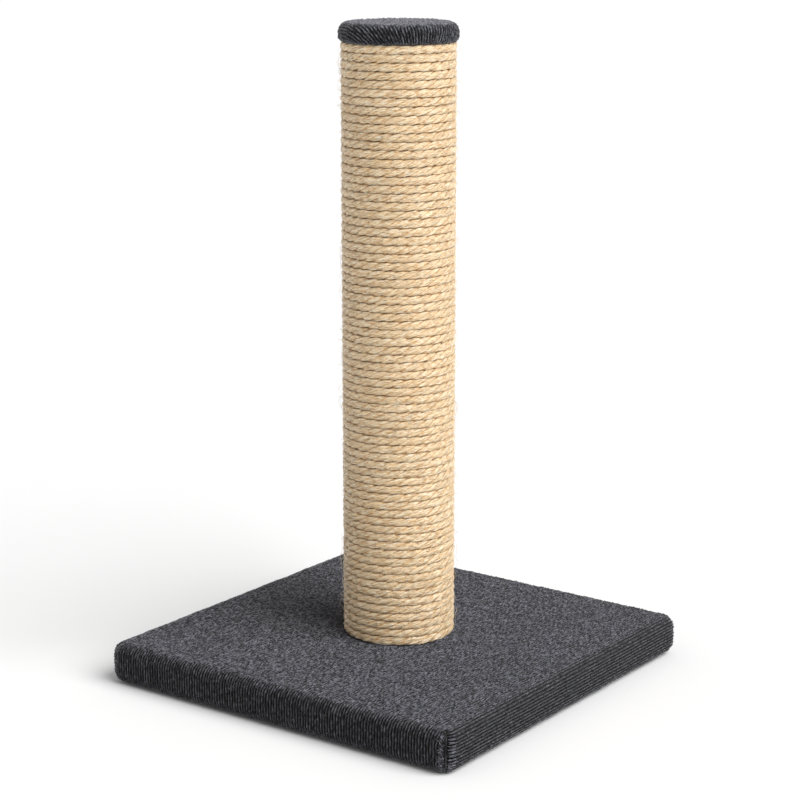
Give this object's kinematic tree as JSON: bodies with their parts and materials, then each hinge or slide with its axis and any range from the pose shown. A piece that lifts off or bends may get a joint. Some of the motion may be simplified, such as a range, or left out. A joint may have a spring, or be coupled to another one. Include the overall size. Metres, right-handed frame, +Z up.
{
  "type": "cat scratching post",
  "caption": "Free-standing cat scratching post: square carpeted base, upright post closely wound with sisal rope, and a round carpeted cap.",
  "frame": {"origin": "on the floor, under the middle of the square base and on the post's axis", "axes": "+Z up along the post; X and Y along the sides of the base"},
  "size_m": [0.3056, 0.3056, 0.4772],
  "materials": {
    "carpet": "ribbed needle-punch carpet",
    "sisal": "natural three-strand sisal",
    "fibreboard": "raw fibreboard",
    "plug_wood": "raw plywood",
    "tube_board": "raw cardboard",
    "liner": "thin non-woven sheet",
    "pad_rubber": "matte",
    "zinc_steel": "zinc plated"
  },
  "bodies": {
    "root": {"base_board": "fibreboard", "base_carpet": "carpet", "base_liner": "liner", "base_pad_front_left": "pad_rubber", "base_pad_front_right": "pad_rubber", "base_pad_rear_left": "pad_rubber", "base_pad_rear_right": "pad_rubber", "base_hem_staples": "zinc_steel", "base_bolt": "zinc_steel", "base_washer": "zinc_steel", "post_tube": "tube_board", "bottom_plug": "plug_wood", "top_plug": "plug_wood", "bottom_tee_nut": "zinc_steel", "top_tee_nut": "zinc_steel", "bottom_plug_nails": "zinc_steel", "top_plug_nails": "zinc_steel", "rope_winding_lower": "sisal", "rope_winding_middle": "sisal", "rope_winding_upper": "sisal", "cap_disc": "fibreboard", "cap_carpet": "carpet", "cap_bolt": "zinc_steel", "cap_hem_staples": "zinc_steel"}
  },
  "joints": []
}
